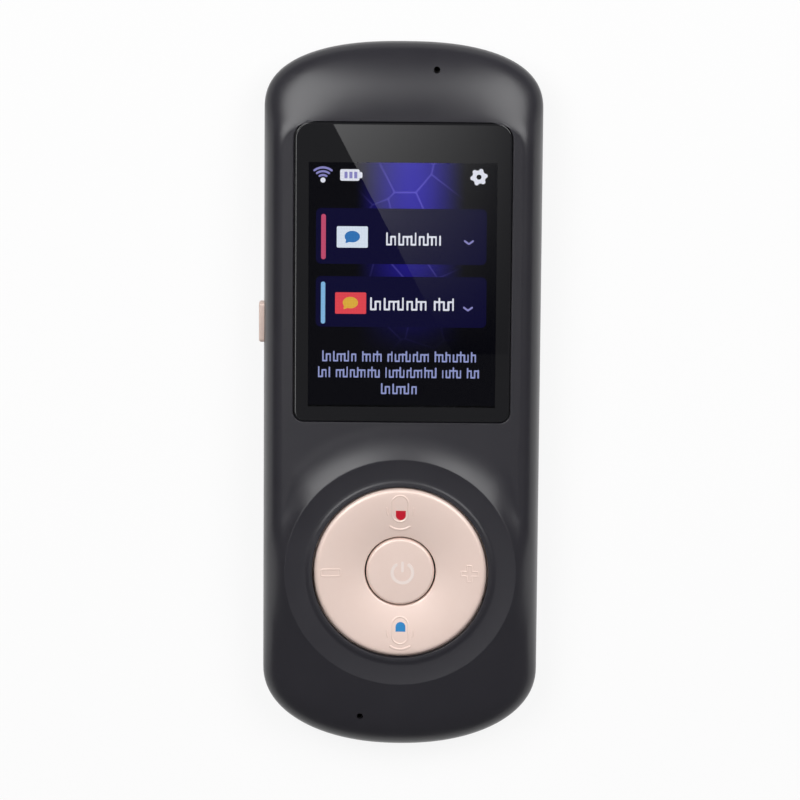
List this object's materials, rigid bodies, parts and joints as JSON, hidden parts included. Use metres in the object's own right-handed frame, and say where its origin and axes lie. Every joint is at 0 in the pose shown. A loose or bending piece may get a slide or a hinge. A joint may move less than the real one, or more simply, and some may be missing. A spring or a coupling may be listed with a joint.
{
  "type": "handheld translator",
  "caption": "Slim two-shell pocket voice translator with a touch screen, a rocking key ring round a push button, and a side button.",
  "frame": {"origin": "middle of the flat rest face on the back", "axes": "+X to the right of the screen, +Y towards the top end, +Z out of the screen"},
  "size_m": [0.0556, 0.1418, 0.0157],
  "materials": {
    "shell_plastic": "fine satin moulded texture",
    "cover_glass": "polished, printed black border",
    "adhesive": "black adhesive tape",
    "display_cell": "lit display face",
    "backlight": "white moulded tray",
    "polyimide": "amber film",
    "connector_plastic": "moulded",
    "foam": "closed cell foam",
    "key_gold": "satin rose gold",
    "acetal": "natural acetal",
    "frame_plastic": "glass filled nylon",
    "screw_steel": "black zinc",
    "dome_steel": "sprung steel",
    "switch_body": "moulded",
    "switch_plunger": "moulded",
    "circuit_board": "solder mask",
    "can_steel": "tinned",
    "chip_resin": "moulded resin",
    "battery_pouch": "foil pouch",
    "white_tape": "foam tape",
    "lead_red": "insulated lead",
    "speaker_black": "moulded frame",
    "rubber_black": "moulded rubber",
    "mesh_cloth": "acoustic mesh",
    "mic_metal": "plated can",
    "port_steel": "plated",
    "port_tongue": "moulded"
  },
  "bodies": {
    "case": {"front_shell": "shell_plastic", "rear_shell": "shell_plastic", "screen_glass": "cover_glass", "glass_gasket": "adhesive", "lcd_cell": "display_cell", "backlight_tray": "backlight", "display_flex": "polyimide", "flex_connector": "connector_plastic", "lcd_foam": "foam", "key_frame": "frame_plastic", "key_frame_screws": "screw_steel", "dome_up": "dome_steel", "dome_down": "dome_steel", "dome_left": "dome_steel", "dome_right": "dome_steel", "dome_centre": "dome_steel", "side_switch_body": "switch_body", "main_board": "circuit_board", "shield_can": "can_steel", "main_chip": "chip_resin", "board_screws": "screw_steel", "battery": "battery_pouch", "battery_tape": "white_tape", "battery_lead": "lead_red", "battery_connector": "connector_plastic", "speaker": "speaker_black", "speaker_gasket": "rubber_black", "speaker_mesh": "mesh_cloth", "microphone_top": "mic_metal", "mic_boot_top": "rubber_black", "microphone_bottom": "mic_metal", "mic_boot_bottom": "rubber_black", "usb_shell": "port_steel", "usb_tongue": "port_tongue", "wifi_antenna": "polyimide", "case_screws": "screw_steel"},
    "gimbal": {"gimbal_ring": "acetal"},
    "key_ring": {"control_ring": "key_gold"},
    "power_key": {"power_button": "key_gold", "button_retainer": "acetal"},
    "side_key": {"side_button": "key_gold", "side_switch_plunger": "switch_plunger"}
  },
  "joints": [
    {"name": "ring_rock_x", "type": "hinge", "parent": "case", "child": "gimbal", "pos_m": [0, -0.03395, 0.0117], "axis": [1, 0, 0], "range_deg": [-1.2, 1.2], "stiffness_Nm_per_rad": 0.8, "deforming": ["dome_up", "dome_down"]},
    {"name": "ring_rock_y", "type": "hinge", "parent": "gimbal", "child": "key_ring", "pos_m": [0, -0.03395, 0.0117], "axis": [0, 1, 0], "range_deg": [-1.2, 1.2], "stiffness_Nm_per_rad": 0.8, "deforming": ["dome_left", "dome_right"]},
    {"name": "power_press", "type": "slide", "parent": "case", "child": "power_key", "axis": [0, 0, -1], "range_m": [0, 0.00035], "stiffness_N_per_m": 3000, "deforming": ["dome_centre"]},
    {"name": "side_press", "type": "slide", "parent": "case", "child": "side_key", "axis": [1, 0, 0], "range_m": [0, 0.00035], "stiffness_N_per_m": 3000}
  ]
}
